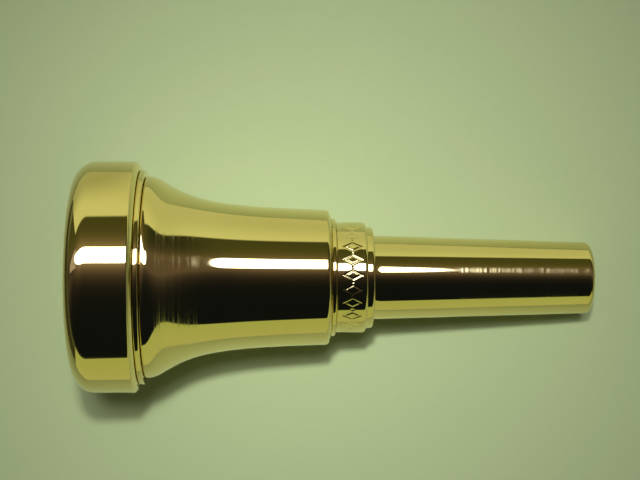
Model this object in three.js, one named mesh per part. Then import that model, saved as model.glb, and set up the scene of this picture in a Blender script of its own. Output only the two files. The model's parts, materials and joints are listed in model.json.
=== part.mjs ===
// A brass instrument's mouthpiece that unscrews into three turned pieces: rim, cup and backbore.
// A loose spacer ring sits at each of the two joints. It lies at rest on the edge of its rim and
// on the tip of its shank. Units are millimetres, +Z is up and the ground is Z = 0.
import * as THREE from 'three';
import { mergeGeometries, mergeVertices } from 'three/addons/utils/BufferGeometryUtils.js';

// Driving dimensions. A station is a distance along the axis, from the crown of the rim (0)
// to the tip of the shank. A profile point is (radius, station).
const length = 61.5;
const facets = 40;
const seam = 0.06;

const rim = { radius: 13.77, crown: 11.0, bite: 8.2, biteDepth: 1.35, shoulder: 2.6, end: 7.72 };
const rimFoot = { radius: 12.98, slope: 0.07, edge: 0.5 };
const rimSpacer = { radius: 12.8, bore: 10.76, thickness: 0.62, edge: 0.16 };
const bowl = { top: 3.6, radius: 7.95, bottom: 16.2, throat: 1.9 };
const cup = { shoulder: 12.04, shoulderEdge: 0.3, end: 30.24, edge: 0.52 };
const flare = { start: 8.68, rise: 1.5, sharpness: 1.5, steepest: 11, slope: 0.67, fade: 3.8, waistSlope: 0.03 };
const backboreSpacer = { radius: 7.08, bore: 5.8, thickness: 0.54, edge: 0.14 };
const collar = { radius: 6.6, length: 3.58, edge: 0.36 };
const step = { radius: 6.06, end: 35.34, edge: 0.34 };
const shank = { start: 35.44, radius: 5.02, tipRadius: 4.3, tipEdge: 0.7, tipBore: 3.1 };
const pilot = { radius: 5.0, end: 24.1, floor: 20.5, throat: 1.95 };

// Both threads are right-handed. A thread runs between two stations on a spigot's root radius.
const pitch = 1.0;
const threadHeight = 0.42;
const clearance = 0.08;
const rimThread = { root: 10.18, from: 4.5, to: 7.3 };
const backboreThread = { root: 5.25, from: 25.0, to: 29.5 };

// Stations that follow from the dimensions above.
const spigotTop = bowl.top + seam;
const rimSpacerStart = rim.end + seam;
const cupStart = rimSpacerStart + rimSpacer.thickness + seam;
const backboreSpacerStart = cup.end + seam;
const collarStart = backboreSpacerStart + backboreSpacer.thickness + seam;
const collarEnd = collarStart + collar.length;

// Radii are held across the flats of the faceted solid, so a flat of the rim meets the ground.
const acrossFlats = 1 / Math.cos(Math.PI / facets);
const firstAngle = Math.PI / facets;

const point = (radius, station) => new THREE.Vector2(radius, station);

// Points of an elliptical arc about a centre, between two angles in quarter turns: 0 points out
// from the axis, 1 points to the tip and -1 points to the rim.
function arc(centre, reachOut, reachAlong, from, to, steps) {
  const points = [];
  for (let i = 0; i <= steps; i += 1) {
    const angle = (Math.PI / 2) * (from + ((to - from) * i) / steps);
    points.push(point(centre.x + reachOut * Math.cos(angle), centre.y + reachAlong * Math.sin(angle)));
  }
  return points;
}

// A rounded outer edge that turns from the side of a cylinder to its face at the tip's end.
function edge(radius, station, reach, steps) {
  return arc(point(radius - reach, station - reach), reach, reach, 0, 1, steps);
}

function curve(points, steps) {
  return new THREE.SplineCurve(points).getPoints(steps);
}

// How much radius the cup loses for each millimetre of its length. The slope grows over the
// rounded shoulder and then dies away towards the waist.
function flareSlope(station) {
  const grown = 1 - Math.exp(-(((station - flare.start) / flare.rise) ** flare.sharpness));
  const steep = flare.slope * Math.exp(-(station - flare.steepest) / flare.fade);
  return grown * (flare.waistSlope + steep);
}

// The outside of the cup from its shoulder to the given end. The points are closer together
// where the slope changes fast.
function flareProfile(end, steps) {
  const points = [point(cup.shoulder, cupStart + cup.shoulderEdge)];
  const fine = 40;
  let { x: radius, y: station } = points[0];
  const run = end - station;
  for (let i = 1; i <= steps; i += 1) {
    const next = end - run * (1 - i / steps) * (1 - (0.45 * i) / steps);
    const stride = (next - station) / fine;
    for (let k = 0; k < fine; k += 1) {
      radius -= flareSlope(station + stride * (k + 0.5)) * stride;
    }
    station = next;
    points.push(point(radius, station));
  }
  return points;
}

// The surface that a profile makes when it is turned about the axis. The axis is Y until the
// assembly is laid down.
function turned(profile) {
  const points = profile.map((p) => point(p.x * acrossFlats, p.y));
  return new THREE.LatheGeometry(points, facets, firstAngle);
}

// The internal and external halves of a thread. A rib stands out from the wall of a spigot,
// or in from the wall of a bore, and its outline is given about the rib's middle.
function externalThread(thread) {
  return {
    wall: thread.root,
    height: threadHeight,
    foot: 0.3 * pitch,
    crest: 0.1 * pitch,
    middle: thread.from,
    turns: (thread.to - thread.from) / pitch,
  };
}

function internalThread(thread) {
  const external = externalThread(thread);
  return {
    wall: thread.root + threadHeight + clearance,
    height: -threadHeight,
    foot: 0.5 * pitch - external.crest - clearance,
    crest: 0.5 * pitch - external.foot - clearance,
    middle: external.middle - 0.5 * pitch,
    turns: external.turns,
  };
}

// A cylinder wall with a rib winding round it, between two stations. The rib grows over its first
// quarter turn and fades over its last one. The wall faces away from the axis unless it is a bore.
function threadedWall({ wall, height, foot, crest, middle, turns }, from, to) {
  const positions = [];
  const index = [];
  const vertex = (radius, station, turn) => {
    const angle = firstAngle + 2 * Math.PI * turn;
    const reach = radius * acrossFlats;
    positions.push(reach * Math.sin(angle), station, reach * Math.cos(angle));
    return positions.length / 3 - 1;
  };
  const face = (first, ...corners) => {
    for (let i = 1; i < corners.length; i += 1) {
      index.push(first, ...(height > 0 ? [corners[i - 1], corners[i]] : [corners[i], corners[i - 1]]));
    }
  };
  const steps = Math.round(turns * facets);
  const lastTurn = steps - facets;
  const fade = facets / 4;
  const firstRing = [];
  const lastRing = [];
  for (let i = 0; i <= facets; i += 1) {
    firstRing.push(vertex(wall, from, i / facets));
    lastRing.push(vertex(wall, to, (lastTurn + i) / facets));
  }
  const rib = [];
  for (let i = 0; i <= steps; i += 1) {
    const turn = i / facets;
    const station = middle + pitch * turn;
    const crown = wall + height * Math.max(0.2, Math.min(1, i / fade, (steps - i) / fade));
    rib.push([
      vertex(wall, station - foot, turn),
      vertex(crown, station - crest, turn),
      vertex(crown, station + crest, turn),
      vertex(wall, station + foot, turn),
    ]);
  }
  for (let i = 0; i < steps; i += 1) {
    for (let k = 0; k < 3; k += 1) {
      face(rib[i][k], rib[i + 1][k], rib[i + 1][k + 1], rib[i][k + 1]);
    }
  }
  for (let i = 0; i < lastTurn; i += 1) {
    face(rib[i][3], rib[i + 1][3], rib[i + 1 + facets][0], rib[i + facets][0]);
  }
  for (let i = 0; i < facets - 1; i += 1) {
    face(rib[i][0], firstRing[i], firstRing[i + 1], rib[i + 1][0]);
    face(rib[lastTurn + i + 2][3], lastRing[i + 2], lastRing[i + 1], rib[lastTurn + i + 1][3]);
  }
  face(rib[facets - 1][0], firstRing[facets - 1], firstRing[facets], rib[0][0], rib[0][3], rib[facets][0]);
  face(rib[lastTurn + 1][3], lastRing[1], lastRing[0], rib[steps][3], rib[steps][0], rib[lastTurn][3]);
  face(...rib[0]);
  face(...[...rib[steps]].reverse());
  const geometry = new THREE.BufferGeometry();
  geometry.setAttribute('position', new THREE.Float32BufferAttribute(positions, 3));
  geometry.setIndex(index);
  return geometry;
}

// One closed solid from surfaces that meet at their edges.
function joined(...surfaces) {
  for (const surface of surfaces) {
    surface.deleteAttribute('normal');
    surface.deleteAttribute('uv');
  }
  return mergeVertices(mergeGeometries(surfaces), 1e-4);
}

// The playing rim: a rounded crown on a thick cylinder, with a threaded counterbore from below.
function rimGeometry() {
  const thread = internalThread(rimThread);
  const mouth = rim.end - 0.3;
  const body = turned([
    point(thread.wall, bowl.top),
    point(bowl.radius, bowl.top),
    ...arc(point(rim.crown, rim.biteDepth), rim.crown - rim.bite, rim.biteDepth, -2, -1, 5),
    ...arc(point(rim.crown, rim.shoulder), rim.radius - rim.crown, rim.shoulder, -1, 0, 5).slice(1),
    ...edge(rim.radius, rim.end - rimFoot.slope, rimFoot.edge, 4).slice(0, 4),
    point(rimFoot.radius, rim.end),
    point(thread.wall + 0.3, rim.end),
    point(thread.wall, mouth),
  ]);
  return joined(body, threadedWall(thread, bowl.top, mouth));
}

// A ring between two faces, with its outer edge eased on both sides.
function ringGeometry(ring, start) {
  const end = start + ring.thickness;
  return joined(turned([
    point(ring.bore, start),
    point(ring.radius - ring.edge, start),
    point(ring.radius, start + ring.edge),
    point(ring.radius, end - ring.edge),
    point(ring.radius - ring.edge, end),
    point(ring.bore, end),
    point(ring.bore, start),
  ]));
}

// The cup: a threaded spigot above, the bowl and throat inside, and a threaded socket below.
function cupGeometry() {
  const spigot = externalThread(rimThread);
  const socket = internalThread(backboreThread);
  const spigotFoot = rim.end;
  const socketMouth = cup.end - 0.3;
  const socketFloor = pilot.end - 0.3;
  const flank = flareProfile(cup.end - cup.edge - 0.08, 17);
  const waist = flank[flank.length - 1].x;
  const outside = turned([
    point(spigot.wall, spigotFoot),
    point(spigot.wall, cupStart),
    ...arc(
      point(cup.shoulder - cup.shoulderEdge, cupStart + cup.shoulderEdge),
      cup.shoulderEdge, cup.shoulderEdge, -1, 0, 3,
    ),
    ...flank.slice(1),
    ...edge(waist, cup.end - 0.08, cup.edge, 4).slice(1),
    point(waist - cup.edge - 0.1, cup.end),
    point(socket.wall + 0.3, cup.end),
    point(socket.wall, socketMouth),
  ]);
  const inside = turned([
    point(socket.wall, socketFloor),
    point(pilot.radius + clearance, socketFloor),
    point(pilot.radius + clearance, pilot.floor),
    ...curve([
      point(bowl.throat, pilot.floor),
      point(bowl.throat, pilot.floor - 3),
      point(2.5, bowl.bottom - 1.3),
      point(4.6, bowl.bottom - 3.4),
      point(6.6, bowl.bottom - 6.3),
      point(7.6, bowl.bottom - 9.7),
      point(bowl.radius, spigotTop),
    ], 12),
    point(spigot.wall - 0.3, spigotTop),
    point(spigot.wall, spigotTop + 0.3),
  ]);
  return joined(
    outside,
    inside,
    threadedWall(spigot, spigotTop + 0.3, spigotFoot),
    threadedWall(socket, socketFloor, socketMouth),
  );
}

// The backbore: a plain pilot and a thread that enter the cup, a collar with a step,
// and the tapered shank, with the bore widening from the throat to the tip.
function backboreGeometry() {
  const spigot = externalThread(backboreThread);
  const spigotTip = pilot.floor + seam;
  const body = turned([
    point(spigot.wall, cup.end),
    point(spigot.wall, collarStart),
    point(collar.radius - 0.12, collarStart),
    point(collar.radius, collarStart + 0.14),
    ...edge(collar.radius, collarEnd, collar.edge, 3),
    point(step.radius, collarEnd + 0.05),
    ...edge(step.radius, step.end, step.edge, 3),
    point(shank.radius + 0.2, step.end + 0.02),
    point(shank.radius, shank.start),
    ...edge(shank.tipRadius, length, shank.tipEdge, 4),
    point(shank.tipBore + 0.1, length),
    ...curve([
      point(shank.tipBore, length - 0.1),
      point(2.72, 44),
      point(2.25, 30),
      point(pilot.throat, spigotTip),
    ], 6),
    point(pilot.radius - 0.3, spigotTip),
    point(pilot.radius, spigotTip + 0.3),
    point(pilot.radius, pilot.end),
    point(spigot.wall, pilot.end + 0.25),
  ]);
  return joined(body, threadedWall(spigot, pilot.end + 0.25, cup.end));
}

// Lying at rest: the rim's lower edge and the tip's edge touch the ground along one line.
function restTilt() {
  const rimEdge = point(rim.radius - rimFoot.edge, rim.end - rimFoot.slope - rimFoot.edge);
  const tipEdge = point(shank.tipRadius - shank.tipEdge, length - shank.tipEdge);
  const drop = rimEdge.x - tipEdge.x;
  const run = tipEdge.y - rimEdge.y;
  return Math.atan2(drop, run) - Math.asin((shank.tipEdge - rimFoot.edge) / Math.hypot(drop, run));
}

function polished(name, color, roughness, geometry) {
  geometry.rotateZ(-Math.PI / 2);
  const material = new THREE.MeshStandardMaterial({ color, roughness, metalness: 1 });
  const mesh = new THREE.Mesh(geometry, material);
  mesh.name = name;
  return mesh;
}

const laidDown = new THREE.Group();
laidDown.add(
  polished('rim', 0xe0ba62, 0.08, rimGeometry()),
  polished('rim_spacer', 0xd9b05a, 0.12, ringGeometry(rimSpacer, rimSpacerStart)),
  polished('cup', 0xdeb75e, 0.09, cupGeometry()),
  polished('backbore_spacer', 0xd9b05a, 0.12, ringGeometry(backboreSpacer, backboreSpacerStart)),
  polished('backbore', 0xdcb45c, 0.14, backboreGeometry()),
);
laidDown.rotation.y = restTilt();

// The origin is the middle of the bottom of the box around the whole part.
const mouthpiece = new THREE.Group();
mouthpiece.add(laidDown);
mouthpiece.updateMatrixWorld(true);
const box = new THREE.Box3().setFromObject(mouthpiece, true);
laidDown.position.set(-(box.min.x + box.max.x) / 2, 0, -box.min.z);

export default mouthpiece;
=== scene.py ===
"""A brass mouthpiece lying on pale paper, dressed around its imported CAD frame.

Profiles are lists of (radius, station) in millimetres. A station is a distance along the
mouthpiece's own axis, from the crown of its rim (0) to the tip of its shank.
"""
import json
import math

import bmesh
import bpy
from mathutils import Matrix, Vector


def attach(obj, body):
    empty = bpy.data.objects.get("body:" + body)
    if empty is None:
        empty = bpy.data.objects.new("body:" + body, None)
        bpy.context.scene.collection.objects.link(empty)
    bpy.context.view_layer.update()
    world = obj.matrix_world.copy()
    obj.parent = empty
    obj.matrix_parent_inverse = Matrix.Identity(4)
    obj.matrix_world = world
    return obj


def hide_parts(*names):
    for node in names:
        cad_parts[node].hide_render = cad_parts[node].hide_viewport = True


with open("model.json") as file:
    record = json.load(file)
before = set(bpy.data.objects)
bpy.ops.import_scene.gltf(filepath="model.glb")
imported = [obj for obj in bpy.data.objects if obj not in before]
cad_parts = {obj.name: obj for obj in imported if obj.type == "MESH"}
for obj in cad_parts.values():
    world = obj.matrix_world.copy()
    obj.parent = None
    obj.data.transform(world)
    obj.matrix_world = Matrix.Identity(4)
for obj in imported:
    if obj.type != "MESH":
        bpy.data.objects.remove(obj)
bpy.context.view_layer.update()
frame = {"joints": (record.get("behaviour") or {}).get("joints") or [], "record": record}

MM = 0.001
QUARTER = math.pi / 2
SEGMENTS = 192
SHARP_ANGLE = 38

# Driving dimensions, in millimetres, as the CAD part has them. Faces that are screwed tight
# stand closer together here than in the CAD, so that a seam is a hairline.
LENGTH = 61.5
SEAM = 0.02
RIM_RADIUS, CROWN, BITE, BITE_DEPTH, SHOULDER, RIM_END = 13.77, 11.0, 8.2, 1.35, 2.6, 7.74
RIM_FOOT, RIM_EDGE, RIM_BEVEL = 12.98, 0.25, 0.61
RIM_SPACER_RADIUS, RIM_SPACER_BORE, RIM_SPACER_THICKNESS, RIM_SPACER_EASE = 12.8, 10.76, 0.66, (0.16, 0.2)
BOWL_TOP, BOWL_RADIUS, BOWL_BOTTOM, THROAT = 3.6, 7.95, 16.2, 1.9
CUP_SHOULDER, CUP_SHOULDER_EDGE, CUP_END, CUP_EDGE = 12.04, 0.22, 30.26, 0.52
FLARE_START, FLARE_RISE, FLARE_SHARPNESS = 8.68, 1.5, 1.5
FLARE_STEEPEST, FLARE_SLOPE, FLARE_FADE, FLARE_WAIST_SLOPE = 11.0, 0.67, 3.8, 0.03
SPACER_RADIUS, SPACER_BORE, SPACER_THICKNESS, SPACER_EASE = 7.08, 5.8, 0.58, (0.16, 0.2)
COLLAR_RADIUS, COLLAR_END, COLLAR_EDGE = 6.6, 34.48, 0.36
STEP_RADIUS, STEP_END, STEP_EDGE = 6.06, 35.34, 0.34
SHANK_START, SHANK_RADIUS, TIP_RADIUS, TIP_EDGE, TIP_BORE = 35.44, 5.02, 4.3, 0.7, 3.1
PILOT_RADIUS, PILOT_END, PILOT_FLOOR, PILOT_THROAT = 5.0, 24.1, 20.5, 1.95
PITCH, THREAD_HEIGHT, CLEARANCE = 1.0, 0.42, 0.08
RIM_THREAD = {"root": 10.18, "from": 4.5, "to": 7.3}
BACKBORE_THREAD = {"root": 5.25, "from": 25.0, "to": 29.5}

SPIGOT_TOP = BOWL_TOP + 0.06
RIM_SPACER_START = RIM_END + SEAM
CUP_START = RIM_SPACER_START + RIM_SPACER_THICKNESS + SEAM
SPACER_START = CUP_END + SEAM
COLLAR_START = SPACER_START + SPACER_THICKNESS + SEAM

# Engraving round the collar: lozenges with a dot between each two.
MOTIFS = 24
COLUMNS_PER_MOTIF = 24
LOZENGE_HALF_WIDTH, LOZENGE_HALF_HEIGHT = 0.52, 0.95
STROKE_HALF_WIDTH, STROKE_DEPTH = 0.13, 0.055
DOT_RADIUS, DOT_DEPTH = 0.18, 0.06


# ---------------------------------------------------------------- where the mouthpiece lies

mount = frame["record"]["mounts"][0]
screw = next(j for j in frame["joints"] if j["name"] == "backbore_screw")
axis = Vector(screw["axis"]).normalized()
on_axis = Vector(screw["pos_m"])
tip_centre = on_axis + axis * (Vector(mount["pos_m"]) - on_axis).dot(axis)
rim_centre = tip_centre - axis * LENGTH * MM
across = Vector((0, 1, 0))
over = axis.cross(across)


def placed():
    """The matrix that lays a piece made about its own Z axis along the mouthpiece's axis."""
    side = axis.cross(over)
    matrix = Matrix((over, side, axis)).transposed().to_4x4()
    matrix.translation = rim_centre
    return matrix


def at_station(station):
    """The point on the mouthpiece's axis at a station, in the row frame."""
    return rim_centre + axis * station * MM


# ---------------------------------------------------------------- profiles

def arc(radius, station, reach_out, reach_along, start, end, steps):
    """An elliptical arc between two angles in quarter turns: 0 is outward, 1 is to the tip."""
    points = []
    for i in range(steps + 1):
        angle = QUARTER * (start + (end - start) * i / steps)
        points.append((radius + reach_out * math.cos(angle), station + reach_along * math.sin(angle)))
    return points


def edge(radius, station, reach, start, end, steps):
    """A rounded outer edge between a cylinder and its face at the tip's end, in quarter turns."""
    return arc(radius - reach, station - reach, reach, reach, start, end, steps)


def line(start, end, steps):
    """A straight stretch with even steps, so that shading stays flat along it."""
    return [
        (start[0] + (end[0] - start[0]) * i / steps, start[1] + (end[1] - start[1]) * i / steps)
        for i in range(steps + 1)
    ]


def spline(points, steps):
    """A smooth curve through the points, with the given steps between each two."""
    out = []
    last = len(points) - 1
    for i in range(last):
        p0, p1, p2, p3 = points[max(i - 1, 0)], points[i], points[i + 1], points[min(i + 2, last)]
        for k in range(steps):
            t = k / steps
            out.append(tuple(
                (2 * b - 2 * c + (c - a) / 2 + (d - b) / 2) * t ** 3
                + (-3 * b + 3 * c - (c - a) - (d - b) / 2) * t ** 2
                + (c - a) / 2 * t + b
                for a, b, c, d in zip(p0, p1, p2, p3)
            ))
    return out + [points[last]]


def flare_slope(station):
    """How much radius the cup loses for each millimetre of its length."""
    grown = 1 - math.exp(-(((station - FLARE_START) / FLARE_RISE) ** FLARE_SHARPNESS))
    return grown * (FLARE_WAIST_SLOPE + FLARE_SLOPE * math.exp(-(station - FLARE_STEEPEST) / FLARE_FADE))


def flare(end, steps=84, fine=8):
    """The outside of the cup from its shoulder to a station, closer together near the shoulder."""
    radius, station = CUP_SHOULDER, CUP_START + CUP_SHOULDER_EDGE
    points = [(radius, station)]
    run = end - station
    for i in range(1, steps + 1):
        to_go = 1 - i / steps
        stride = (end - run * to_go * (1 - 0.45 * i / steps) - station) / fine
        for k in range(fine):
            radius -= flare_slope(station + stride / 2) * stride
            station += stride
        points.append((radius, station))
    return points


# ---------------------------------------------------------------- turned meshes

class Turned:
    """A closed surface made of rings of points round the Z axis."""

    def __init__(self):
        self.points = []
        self.faces = []

    def point(self, radius, station, turn):
        """Add one point, at a share of a whole turn, and give back its number."""
        angle = 2 * math.pi * turn
        self.points.append((radius * math.cos(angle), radius * math.sin(angle), station))
        return len(self.points) - 1

    def ring(self, radius, station):
        return [self.point(radius, station, i / SEGMENTS) for i in range(SEGMENTS)]

    def band(self, low, high):
        """The faces between two rings. One may have a whole number of times as many points."""
        if len(low) > len(high):
            low, high = high, low
        per = len(high) // len(low)
        for i in range(len(low)):
            upper = [high[(per * i + k) % len(high)] for k in range(per, -1, -1)]
            self.faces.append((low[i], low[(i + 1) % len(low)], *upper))

    def wall(self, profile):
        """Rings along a profile. Gives back the first and the last ring."""
        rings = [self.ring(radius, station) for radius, station in profile]
        for low, high in zip(rings, rings[1:]):
            self.band(low, high)
        return rings[0], rings[-1]

    def thread(self, low, high, thread):
        """A right-handed rib between two rings of the same cylinder, fading at its two ends."""
        wall, height, foot, crest = (thread[k] for k in ("wall", "height", "foot", "crest"))
        section = [(-foot, 0), (-crest - 0.04, 0.86), (-crest + 0.03, 1), (crest - 0.03, 1),
                   (crest + 0.04, 0.86), (foot, 0)]
        n = SEGMENTS
        steps = round(thread["turns"] * n)
        fade = n / 4
        rib = []
        for i in range(steps + 1):
            growth = max(0.1, min(1, i / fade, (steps - i) / fade))
            middle = thread["middle"] + PITCH * i / n
            rib.append([
                self.point(wall + height * growth * share, middle + along, i / n)
                for along, share in section
            ])
        tall = len(section) - 1
        last = steps - n
        for i in range(steps):
            for k in range(tall):
                self.faces.append((rib[i][k], rib[i + 1][k], rib[i + 1][k + 1], rib[i][k + 1]))
        for i in range(last):
            self.faces.append((rib[i][tall], rib[i + 1][tall], rib[i + 1 + n][0], rib[i + n][0]))
        for i in range(n - 1):
            j = last + i + 1
            self.faces.append((low[i], low[i + 1], rib[i + 1][0], rib[i][0]))
            self.faces.append((rib[j][tall], rib[j + 1][tall], high[(j + 1) % n], high[j % n]))
        start, end = rib[n], rib[last]
        self.faces.append((low[n - 1], low[0], rib[0][0], rib[0][tall], start[0], rib[n - 1][0]))
        self.faces.append((end[tall], rib[last + 1][tall], high[(last + 1) % n], high[last % n],
                           rib[steps][tall], rib[steps][0]))
        self.faces.append(tuple(reversed(rib[0])))
        self.faces.append(tuple(rib[steps]))

    def piece(self, name, material):
        """The finished object, lying where the CAD piece lies."""
        mesh = bpy.data.meshes.new(name)
        lay = placed()
        mesh.from_pydata([lay @ (Vector(p) * MM) for p in self.points], [], self.faces)
        bm = bmesh.new()
        bm.from_mesh(mesh)
        bmesh.ops.recalc_face_normals(bm, faces=bm.faces)
        bm.to_mesh(mesh)
        bm.free()
        mesh.polygons.foreach_set("use_smooth", [True] * len(mesh.polygons))
        mesh.set_sharp_from_angle(angle=math.radians(SHARP_ANGLE))
        mesh.materials.append(material)
        obj = bpy.data.objects.new(name, mesh)
        bpy.context.scene.collection.objects.link(obj)
        weighted = obj.modifiers.new("even_shading", "WEIGHTED_NORMAL")
        weighted.keep_sharp = True
        return obj


def external(thread):
    """The rib of a spigot's thread."""
    return {
        "wall": thread["root"], "height": THREAD_HEIGHT,
        "foot": 0.3 * PITCH, "crest": 0.1 * PITCH,
        "middle": thread["from"], "turns": (thread["to"] - thread["from"]) / PITCH,
    }


def internal(thread):
    """The rib of the bore that takes that spigot. It runs between the turns of the other rib."""
    return {
        "wall": thread["root"] + THREAD_HEIGHT + CLEARANCE, "height": -THREAD_HEIGHT,
        "foot": 0.4 * PITCH - CLEARANCE, "crest": 0.2 * PITCH - CLEARANCE,
        "middle": thread["from"] - 0.5 * PITCH, "turns": (thread["to"] - thread["from"]) / PITCH,
    }


# ---------------------------------------------------------------- materials

BRASS = (0.83, 0.69, 0.32)


class Nodes:
    """A small helper for building a node tree from left to right."""

    def __init__(self, tree):
        self.tree = tree
        self.tree.nodes.clear()

    def add(self, kind, inputs=None, **settings):
        """A node with its settings and inputs. An input is a constant or another node's output."""
        node = self.tree.nodes.new(kind)
        for key, value in settings.items():
            setattr(node, key, value)
        for key, value in (inputs or {}).items():
            socket = node.inputs[key]
            if isinstance(value, bpy.types.NodeSocket):
                self.tree.links.new(value, socket)
            else:
                socket.default_value = value
        return node

    def math(self, operation, a, b=0.0):
        return self.add("ShaderNodeMath", {0: a, 1: b}, operation=operation).outputs[0]

    def dot(self, a, b):
        return self.add("ShaderNodeVectorMath", {0: a, 1: b}, operation="DOT_PRODUCT").outputs["Value"]

    def mix(self, factor, a, b, blend="MIX"):
        """Two colours mixed. Each is a tuple of three numbers or another node's output."""
        first, second = ((*c, 1.0) if isinstance(c, tuple) else c for c in (a, b))
        inputs = {0: factor, 6: first, 7: second}
        return self.add("ShaderNodeMix", inputs, data_type="RGBA", blend_type=blend).outputs[2]

    def noise(self, vector, scale, detail=2.0, roughness=0.5):
        inputs = {"Vector": vector, "Scale": scale, "Detail": detail, "Roughness": roughness}
        return self.add("ShaderNodeTexNoise", inputs).outputs["Fac"]

    def between(self, value, low, high, to_low=0.0, to_high=1.0):
        """A smooth step from one number to another as the value goes from low to high."""
        inputs = {
            "Value": value, "From Min": low, "From Max": high, "To Min": to_low, "To Max": to_high,
        }
        return self.add("ShaderNodeMapRange", inputs, interpolation_type="SMOOTHSTEP").outputs["Result"]


def axis_place(n):
    """A shading point in the mouthpiece's own frame, with Z along its axis from the crown."""
    place = n.add("ShaderNodeTexCoord").outputs["Object"]
    lay = placed()
    mapping = n.add("ShaderNodeMapping", {
        "Vector": place, "Location": lay.translation, "Rotation": lay.to_euler(),
    }, vector_type="TEXTURE")
    return mapping.outputs[0]


def brass(name, brushed):
    """Polished brass with fine lines round the axis, thicker between the given stations.

    Each stretch is (start, full, still full, end, share, roughness), in millimetres.
    """
    material = bpy.data.materials.new(name)
    material.use_nodes = True
    n = Nodes(material.node_tree)
    place = axis_place(n)
    x, y, z = n.add("ShaderNodeSeparateXYZ", {0: place}).outputs
    radius = n.math("SQRT", n.math("ADD", n.math("MULTIPLY", x, x), n.math("MULTIPLY", y, y)))
    along = n.math("ADD", z, n.math("MULTIPLY", radius, 0.37))
    lines = n.add("ShaderNodeCombineXYZ", {
        0: n.math("MULTIPLY", x, 60.0),
        1: n.math("MULTIPLY", y, 60.0),
        2: n.math("MULTIPLY", along, 11000.0),
    }).outputs[0]
    fine = n.noise(lines, 1.0, 3.0, 0.7)
    patches = n.noise(place, 300.0, 2.0)
    wear = n.math("MULTIPLY", n.between(fine, 0.55, 0.75), n.between(patches, 0.4, 0.75, 0.2, 1.0))
    roughness = n.math("ADD", 0.04, n.math("MULTIPLY", wear, 0.03))
    for start, full, still, end, share, rough in brushed:
        begins = n.between(z, start * MM, full * MM)
        ends = n.between(z, still * MM, end * MM, 1.0, 0.0)
        zone = n.math("MULTIPLY", begins, ends)
        level = n.math("SUBTRACT", 0.8, n.math("MULTIPLY", zone, 0.8 - share))
        line = n.between(n.math("SUBTRACT", fine, level), 0.0, 0.06)
        roughness = n.math("ADD", roughness, n.math("MULTIPLY", line, rough))
    cells = n.add("ShaderNodeTexVoronoi", {"Vector": place, "Scale": 420.0, "Randomness": 1.0})
    chosen = n.between(n.dot(cells.outputs["Color"], (1.0, 1.0, 0.0)), 1.5, 1.52)
    pit = n.math("MULTIPLY", chosen, n.between(cells.outputs["Distance"], 0.02, 0.045, 1.0, 0.0))
    roughness = n.math("ADD", roughness, n.math("MULTIPLY", pit, 0.2))
    tone = n.between(n.noise(place, 90.0, 3.0), 0.3, 0.7)
    tint = n.mix(tone, BRASS, tuple(c * k for c, k in zip(BRASS, (0.975, 0.955, 0.9))))
    height = n.math("SUBTRACT", n.math("MULTIPLY", fine, 0.5), n.math("MULTIPLY", pit, 3.0))
    bump = n.add("ShaderNodeBump", {"Height": height, "Strength": 0.1, "Distance": 0.00001}).outputs[0]
    grain = n.add("ShaderNodeVectorTransform", {0: axis}, vector_type="VECTOR",
                  convert_from="OBJECT", convert_to="WORLD").outputs[0]
    shader = n.add("ShaderNodeBsdfPrincipled", {
        "Base Color": tint, "Roughness": roughness, "Metallic": 1.0, "Normal": bump,
        "Anisotropic": 1.0, "Tangent": grain,
    })
    n.add("ShaderNodeOutputMaterial", {"Surface": shader.outputs[0]})
    return material


# ---------------------------------------------------------------- the pieces

def dress(piece, body, node):
    """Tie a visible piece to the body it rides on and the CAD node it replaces."""
    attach(piece, body)
    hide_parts(node)


def make_rim(material):
    """The playing rim, with a threaded bore from below."""
    bore = internal(RIM_THREAD)
    t = Turned()
    first, last = t.wall([
        (bore["wall"], BOWL_TOP),
        (BOWL_RADIUS + 0.05, BOWL_TOP),
        (BOWL_RADIUS, BOWL_TOP - 0.05),
        *arc(CROWN, BITE_DEPTH, CROWN - BITE, BITE_DEPTH, -2, -1, 24),
        *arc(CROWN, SHOULDER, RIM_RADIUS - CROWN, SHOULDER, -1, 0, 24)[1:],
        *line((RIM_RADIUS, SHOULDER + 0.3), (RIM_RADIUS, RIM_END - RIM_BEVEL - 0.1), 6),
        *arc(RIM_RADIUS - RIM_EDGE, RIM_END - RIM_BEVEL, RIM_EDGE, RIM_EDGE, 0, 0.53, 6),
        (RIM_FOOT + 0.27, RIM_END - 0.02),
        (RIM_FOOT + 0.2, RIM_END - 0.005),
        (RIM_FOOT, RIM_END),
        (bore["wall"] + 0.3, RIM_END),
        (bore["wall"], RIM_END - 0.3),
    ])
    t.thread(first, last, bore)
    return t.piece("mouthpiece_rim", material)


def make_ring(name, material, radius, bore, start, thickness, ease):
    """A spacer ring with its two outer edges rounded by a depth and a length."""
    end = start + thickness
    deep, long = ease
    t = Turned()
    first, last = t.wall([
        (bore, start + 0.03),
        (bore + 0.03, start),
        (radius - deep - 0.1, start),
        *arc(radius - deep, start + long, deep, long, -0.65, 0, 6),
        *arc(radius - deep, end - long, deep, long, 0, 0.65, 6),
        (radius - deep - 0.1, end),
        (bore + 0.03, end),
        (bore, end - 0.03),
    ])
    t.band(last, first)
    return t.piece(name, material)


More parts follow.
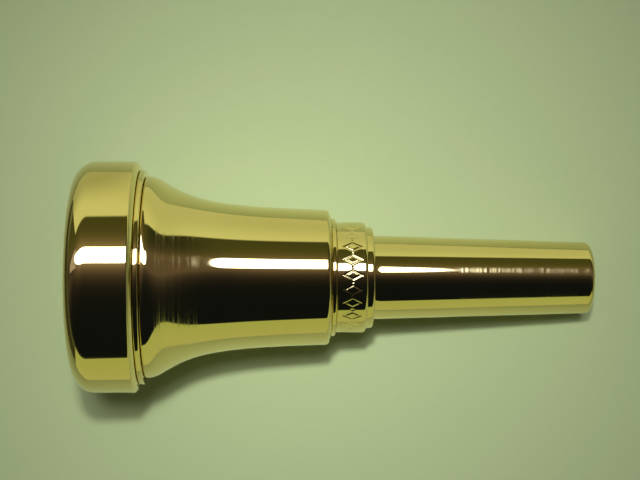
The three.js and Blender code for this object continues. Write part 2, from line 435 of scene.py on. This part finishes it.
def make_cup(material):
    """The flared cup with its bowl and throat, a threaded spigot and a threaded socket."""
    spigot = external(RIM_THREAD)
    socket = internal(BACKBORE_THREAD)
    t = Turned()
    flank = flare(CUP_END - CUP_EDGE - 0.08)
    waist = flank[-1][0]
    turn = CUP_SHOULDER_EDGE
    outside = t.wall([
        (spigot["wall"], RIM_END),
        (spigot["wall"], CUP_START),
        (CUP_SHOULDER - turn - 0.1, CUP_START),
        *arc(CUP_SHOULDER - turn, CUP_START + turn, turn, turn, -0.65, 0, 7),
        *flank,
        *edge(waist, CUP_END - 0.08, CUP_EDGE, 0.08, 1, 10),
        (waist - CUP_EDGE - 0.1, CUP_END),
        (socket["wall"] + 0.3, CUP_END),
        (socket["wall"], CUP_END - 0.3),
    ])
    floor = PILOT_END - 0.3
    inside = t.wall([
        (socket["wall"], floor),
        (PILOT_RADIUS + CLEARANCE, floor),
        (PILOT_RADIUS + CLEARANCE, PILOT_FLOOR),
        (THROAT + 0.05, PILOT_FLOOR),
        *spline([
            (THROAT, PILOT_FLOOR - 0.05),
            (THROAT, PILOT_FLOOR - 3),
            (2.5, BOWL_BOTTOM - 1.3),
            (4.6, BOWL_BOTTOM - 3.4),
            (6.6, BOWL_BOTTOM - 6.3),
            (7.6, BOWL_BOTTOM - 9.7),
            (BOWL_RADIUS, SPIGOT_TOP + 0.05),
        ], 12),
        (BOWL_RADIUS + 0.05, SPIGOT_TOP),
        (spigot["wall"] - 0.3, SPIGOT_TOP),
        (spigot["wall"], SPIGOT_TOP + 0.3),
    ])
    t.thread(inside[1], outside[0], spigot)
    t.thread(inside[0], outside[1], socket)
    return t.piece("mouthpiece_cup", material)


def engraving(turn, station):
    """How deep the ornament is cut at a point of the collar, in millimetres."""
    period = 2 * math.pi * COLLAR_RADIUS / MOTIFS
    u = ((turn * MOTIFS + 0.5) % 1 - 0.5) * period
    v = station - (COLLAR_START + COLLAR_END) / 2
    slope = math.hypot(1 / LOZENGE_HALF_WIDTH, 1 / LOZENGE_HALF_HEIGHT)
    off = abs(abs(u) / LOZENGE_HALF_WIDTH + abs(v) / LOZENGE_HALF_HEIGHT - 1) / slope
    stroke = STROKE_DEPTH * max(0, 1 - (off / STROKE_HALF_WIDTH) ** 2)
    apart = math.hypot(period / 2 - abs(u), v)
    dot = DOT_DEPTH * max(0, 1 - (apart / DOT_RADIUS) ** 2)
    return max(stroke, dot)


def make_backbore(material):
    """The threaded spigot, engraved collar, step and tapered shank, with the bore inside."""
    spigot = external(BACKBORE_THREAD)
    tip = PILOT_FLOOR + SEAM
    band_start, band_end = COLLAR_START + 0.5, COLLAR_END - 0.75
    t = Turned()
    _, low = outer = t.wall([
        (spigot["wall"], CUP_END),
        (spigot["wall"], COLLAR_START),
        (COLLAR_RADIUS - 0.14, COLLAR_START),
        *arc(COLLAR_RADIUS - 0.12, COLLAR_START + 0.12, 0.12, 0.12, -1, 0, 6),
        (COLLAR_RADIUS, COLLAR_START + 0.25),
    ])
    rows = round((band_end - band_start) / 0.05)
    count = MOTIFS * COLUMNS_PER_MOTIF
    for row in range(rows + 1):
        station = band_start + (band_end - band_start) * row / rows
        ring = [
            t.point(COLLAR_RADIUS - engraving(i / count, station), station, i / count)
            for i in range(count)
        ]
        t.band(low, ring)
        low = ring
    body = t.wall([
        (COLLAR_RADIUS, COLLAR_END - COLLAR_EDGE - 0.1),
        *edge(COLLAR_RADIUS, COLLAR_END, COLLAR_EDGE, 0, 0.95, 10),
        (STEP_RADIUS, COLLAR_END + 0.03),
        *edge(STEP_RADIUS, STEP_END, STEP_EDGE, 0, 0.95, 10),
        (SHANK_RADIUS + 0.2, STEP_END + 0.02),
        (SHANK_RADIUS + 0.02, SHANK_START - 0.04),
        *line((SHANK_RADIUS, SHANK_START + 0.06), (TIP_RADIUS, LENGTH - TIP_EDGE - 0.1), 40),
        *edge(TIP_RADIUS, LENGTH, TIP_EDGE, 0, 1, 12),
        (TIP_BORE + 0.1, LENGTH),
        *spline([
            (TIP_BORE, LENGTH - 0.1),
            (2.72, 44),
            (2.25, 30),
            (PILOT_THROAT, tip),
        ], 12),
        (PILOT_RADIUS - 0.3, tip),
        (PILOT_RADIUS, tip + 0.3),
        (PILOT_RADIUS, PILOT_END),
        (spigot["wall"], PILOT_END + 0.25),
    ])
    t.band(low, body[0])
    t.thread(body[1], outer[0], spigot)
    return t.piece("mouthpiece_backbore", material)


FLARE_BRUSHED = (9.4, 10.4, 14.6, 16.4, 0.52, 0.12)
SHANK_BRUSHED = (43.6, 46.0, 61.0, 61.5, 0.48, 0.085)
polished = brass("polished_brass", [FLARE_BRUSHED])
handled = brass("handled_brass", [SHANK_BRUSHED])
dress(make_rim(polished), "rim", "rim")
rim_ring = make_ring("rim_spacer_ring", polished, RIM_SPACER_RADIUS, RIM_SPACER_BORE,
                     RIM_SPACER_START, RIM_SPACER_THICKNESS, RIM_SPACER_EASE)
dress(rim_ring, "rim_spacer", "rim_spacer")
dress(make_cup(polished), "cup", "cup")
backbore_ring = make_ring("backbore_spacer_ring", polished, SPACER_RADIUS, SPACER_BORE,
                          SPACER_START, SPACER_THICKNESS, SPACER_EASE)
dress(backbore_ring, "backbore_spacer", "backbore_spacer")
dress(make_backbore(handled), "backbore", "backbore")


# ---------------------------------------------------------------- camera

LENS, SENSOR = 80.4, 36.0
DISTANCE = 171.3
AIM_STATION = 29.1
LEAN_TO_TIP = math.radians(7.8)
LEAN_BACK = math.radians(4.0)
RAISED = 4.47

right = Vector((math.cos(LEAN_TO_TIP), 0, -math.sin(LEAN_TO_TIP)))
straight = Vector((math.sin(LEAN_TO_TIP), 0, math.cos(LEAN_TO_TIP)))
toward_camera = (straight * math.cos(LEAN_BACK) - Vector((0, 1, 0)) * math.sin(LEAN_BACK)).normalized()
up = toward_camera.cross(right).normalized()


def looking(direction_back, up_vector, location):
    """A matrix for a camera or light that looks against direction_back."""
    side = up_vector.cross(direction_back).normalized()
    matrix = Matrix((side, direction_back.cross(side), direction_back)).transposed().to_4x4()
    matrix.translation = location
    return matrix


camera = bpy.data.objects.new("camera", bpy.data.cameras.new("camera"))
camera.data.lens, camera.data.sensor_width = LENS, SENSOR
camera.data.clip_start, camera.data.clip_end = 0.01, 10.0
aim = at_station(AIM_STATION)
camera.matrix_world = looking(toward_camera, up, aim + toward_camera * DISTANCE * MM + up * RAISED * MM)
bpy.context.scene.collection.objects.link(camera)
bpy.context.scene.camera = camera


# ---------------------------------------------------------------- stage and light

FLOOR_HALF = 800
PAPER_LIGHT, PAPER_DARK = (0.56, 0.68, 0.362), (0.515, 0.632, 0.33)
WHITE, WARM_WHITE = (1.0, 1.0, 1.0), (1.0, 1.0, 0.985)
LAMP_STATION, LAMP_ANGLE = 25.7, 22.2
BACKDROP = (0.25, 0.29, 0.175)

# A card is dimmer where the rim mirrors it than where the cup and shank do. Along X, in mm:
RIM_PART_END, BODY_PART_START = -31, -24


def staged(name, corners, material):
    """A flat stage piece that isn't part of the object. Corners are in millimetres."""
    mesh = bpy.data.meshes.new(name)
    mesh.from_pydata([Vector(c) * MM for c in corners], [], [tuple(range(len(corners)))])
    mesh.materials.append(material)
    obj = bpy.data.objects.new(name, mesh)
    bpy.context.scene.collection.objects.link(obj)
    return obj


def paper_material():
    """Pale green paper with a faint grain."""
    material = bpy.data.materials.new("paper")
    material.use_nodes = True
    n = Nodes(material.node_tree)
    place = n.add("ShaderNodeTexCoord").outputs["Object"]
    grain = n.noise(place, 900.0, 4.0, 0.6)
    cloud = n.noise(place, 28.0, 2.0)
    tone = n.math("ADD", n.math("MULTIPLY", grain, 0.5), n.math("MULTIPLY", cloud, 0.5))
    color = n.mix(tone, PAPER_DARK, PAPER_LIGHT)
    bump = n.add("ShaderNodeBump", {"Height": grain, "Strength": 0.15, "Distance": 0.0001}).outputs[0]
    shader = n.add("ShaderNodeBsdfPrincipled", {
        "Base Color": color, "Roughness": 0.9, "Normal": bump, "Specular IOR Level": 0.15,
    })
    n.add("ShaderNodeOutputMaterial", {"Surface": shader.outputs[0]})
    return material


def glowing(name, low, high, share, ramp, top, slope, softness):
    """A card's light: low at the floor, high where it ends at a sloping top edge, in millimetres.

    Away from the rim its low part is raised towards the high one by a share.
    """
    material = bpy.data.materials.new(name)
    material.use_nodes = True
    n = Nodes(material.node_tree)
    place = n.add("ShaderNodeTexCoord").outputs["Object"]
    x, y, z = n.add("ShaderNodeSeparateXYZ", {0: place}).outputs
    rise = n.between(z, ramp[0] * MM, ramp[1] * MM)
    body = n.between(x, RIM_PART_END * MM, BODY_PART_START * MM)
    raised = tuple(a + (b - a) * share for a, b in zip(low, high))
    color = n.mix(rise, n.mix(body, low, raised), high)
    light = n.add("ShaderNodeEmission", {"Color": color, "Strength": 1.0}).outputs[0]
    clear = n.add("ShaderNodeBsdfTransparent").outputs[0]
    above = n.math("SUBTRACT", z, n.math("ADD", top * MM, n.math("MULTIPLY", x, slope)))
    fade = n.between(above, -softness * MM, softness * MM)
    mixed = n.add("ShaderNodeMixShader", {0: fade, 1: light, 2: clear}).outputs[0]
    n.add("ShaderNodeOutputMaterial", {"Surface": mixed})
    return material


def only_in_reflections(obj):
    """Show a card only in what the mouthpiece mirrors."""
    obj.visible_camera = False
    obj.visible_diffuse = False
    obj.visible_shadow = False
    obj.visible_transmission = False
    obj.visible_volume_scatter = False


def card(name, place_y, left, right_end, height, material):
    """An upright card beside the mouthpiece."""
    only_in_reflections(staged(name, [
        (left, place_y, 0), (right_end, place_y, 0), (right_end, place_y, height), (left, place_y, height),
    ], material))


def lamp(name, station, angle, distance, ends, height, rounds, slants, roll, material):
    """A long lamp across the view, with both ends rounded and slanted."""
    direction = toward_camera * math.cos(math.radians(angle)) + up * math.sin(math.radians(angle))
    sideways = Matrix.Rotation(math.radians(roll), 3, direction) @ right
    above = direction.cross(sideways)
    centre = (at_station(station) + direction * distance * MM) / MM
    outline = []
    for side, end, reach, slant in zip((1, -1), ends, rounds, slants):
        for i in range(17):
            turn = math.pi * (i / 16 - 0.5)
            above_middle = side * height / 2 * math.sin(turn)
            cut = side * reach * (1 - math.cos(turn)) + slant * above_middle
            outline.append((end - cut, above_middle))
    corners = [centre + sideways * u + above * v for u, v in outline]
    only_in_reflections(staged(name, corners, material))


def panel(name, station, rise, angle, distance, size, radiance, color, spread):
    """A soft light over a station, at an angle from the camera towards the picture's top."""
    light = bpy.data.lights.new(name, "AREA")
    light.size = size * MM
    light.energy = radiance * math.pi * light.size ** 2
    light.color = color
    light.spread = math.radians(spread)
    obj = bpy.data.objects.new(name, light)
    direction = toward_camera * math.cos(math.radians(angle)) + up * math.sin(math.radians(angle))
    target = at_station(station) + up * rise * MM
    obj.matrix_world = looking(direction, up, target + direction * distance * MM)
    obj.visible_camera = False
    obj.visible_glossy = False
    bpy.context.scene.collection.objects.link(obj)


def sun(name, angle, side, strength, soft, color):
    """Even light on the whole floor, leaning towards the picture's top and its right side."""
    light = bpy.data.lights.new(name, "SUN")
    light.energy, light.angle, light.color = strength, math.radians(soft), color
    obj = bpy.data.objects.new(name, light)
    direction = toward_camera + up * math.tan(math.radians(angle)) + right * math.tan(math.radians(side))
    direction.normalize()
    obj.matrix_world = looking(direction, up, at_station(0) + direction)
    obj.visible_glossy = False
    bpy.context.scene.collection.objects.link(obj)


def flat_light(name, color):
    """A card's even light."""
    material = bpy.data.materials.new(name)
    material.use_nodes = True
    n = Nodes(material.node_tree)
    light = n.add("ShaderNodeEmission", {"Color": (*color, 1.0), "Strength": 1.0}).outputs[0]
    n.add("ShaderNodeOutputMaterial", {"Surface": light})
    return material


def make_world():
    """A dim room to reflect: nearly black, a little olive beyond the lamp, a warm glow round it."""
    world = bpy.data.worlds.new("room")
    bpy.context.scene.world = world
    world.use_nodes = True
    n = Nodes(world.node_tree)
    place = n.add("ShaderNodeTexCoord").outputs["Generated"]
    x, y, z = n.add("ShaderNodeSeparateXYZ", {0: place}).outputs
    angle = math.radians(LAMP_ANGLE)
    past_lamp = n.dot(place, up * math.cos(angle) - toward_camera * math.sin(angle))
    off_centre = n.math("ABSOLUTE", n.math("ADD", past_lamp, 0.012))
    off = n.math("MAXIMUM", n.math("SUBTRACT", off_centre, 0.14), 0.0)
    glow = n.math("EXPONENT", n.math("DIVIDE", off, -0.115))
    ends = n.math("MULTIPLY", n.between(x, -0.85, -0.2, 0.2, 1.0), n.between(x, 0.05, 0.45, 1.0, 0.4))
    olive = n.math("MULTIPLY", n.between(past_lamp, 0.03, 0.2), n.between(x, 0.3, 0.75, 1.0, 0.4))
    dark = n.mix(olive, (0.0055, 0.0075, 0.0095), (0.064, 0.068, 0.018))
    warm = n.mix(n.math("MULTIPLY", glow, ends), (0.0, 0.0, 0.0), (0.29, 0.21, 0.15))
    dim = n.mix(1.0, dark, warm, "ADD")
    low = n.between(z, 0.0, 0.10, 1.0, 0.0)
    rays = n.add("ShaderNodeLightPath").outputs
    mirrored = n.mix(low, dim, (0.06, 0.07, 0.035))
    color = n.mix(rays["Is Camera Ray"], mirrored, BACKDROP)
    strength = n.math("SUBTRACT", 1.0, n.math("MULTIPLY", rays["Is Diffuse Ray"], 0.5))
    background = n.add("ShaderNodeBackground", {"Color": color, "Strength": strength})
    n.add("ShaderNodeOutputWorld", {"Surface": background.outputs[0]})


staged("floor", [
    (-FLOOR_HALF, -FLOOR_HALF, 0), (FLOOR_HALF, -FLOOR_HALF, 0),
    (FLOOR_HALF, FLOOR_HALF, 0), (-FLOOR_HALF, FLOOR_HALF, 0),
], paper_material())
make_world()

far_light = glowing("far_light", low=(0.41, 0.45, 0.22), high=(0.70, 0.755, 0.41), share=0.5,
                    ramp=(13, 42), top=43.2, slope=-0.305, softness=1.8)
card("far_card", place_y=45, left=-82, right_end=150, height=75, material=far_light)

near_light = glowing("near_light", low=(0.46, 0.51, 0.21), high=(0.42, 0.50, 0.175), share=0,
                     ramp=(0, 25), top=25.3, slope=0, softness=0.5)
card("near_card", place_y=-45, left=-66, right_end=95, height=40, material=near_light)

# A faint sheet on the floor beyond the rim, shown only in reflections. It is painted shade: the rim
# mirrors it as the dark strip along its left outline, where the evenly lit floor would mirror brighter.
LEFT_CARD = [(-500, -300, 0.1), (-79, -300, 0.1), (-83, 60, 0.1), (-500, 60, 0.1)]
only_in_reflections(staged("left_card", LEFT_CARD, flat_light("left_light", (0.045, 0.045, 0.02))))

lamp("lamp", LAMP_STATION, LAMP_ANGLE, distance=176, ends=(57, -215), height=46, rounds=(18, 70),
     slants=(0, 2.6), roll=3, material=flat_light("lamp_light", (6.0, 6.4, 7.8)))
lamp("lamp_tail", LAMP_STATION, LAMP_ANGLE, distance=178, ends=(-190, -900), height=70, rounds=(2, 2),
     slants=(0, 0), roll=0, material=flat_light("tail_light", (0.45, 0.38, 0.38)))

sun("sun", angle=14.2, side=0, strength=0.8, soft=12, color=WHITE)
sun("room", angle=10, side=38, strength=0.16, soft=60, color=WHITE)
panel("key", station=25, rise=4, angle=14.0, distance=230, size=15, radiance=15.4,
      color=WARM_WHITE, spread=34)
bpy.context.scene.view_settings.view_transform = "Standard"
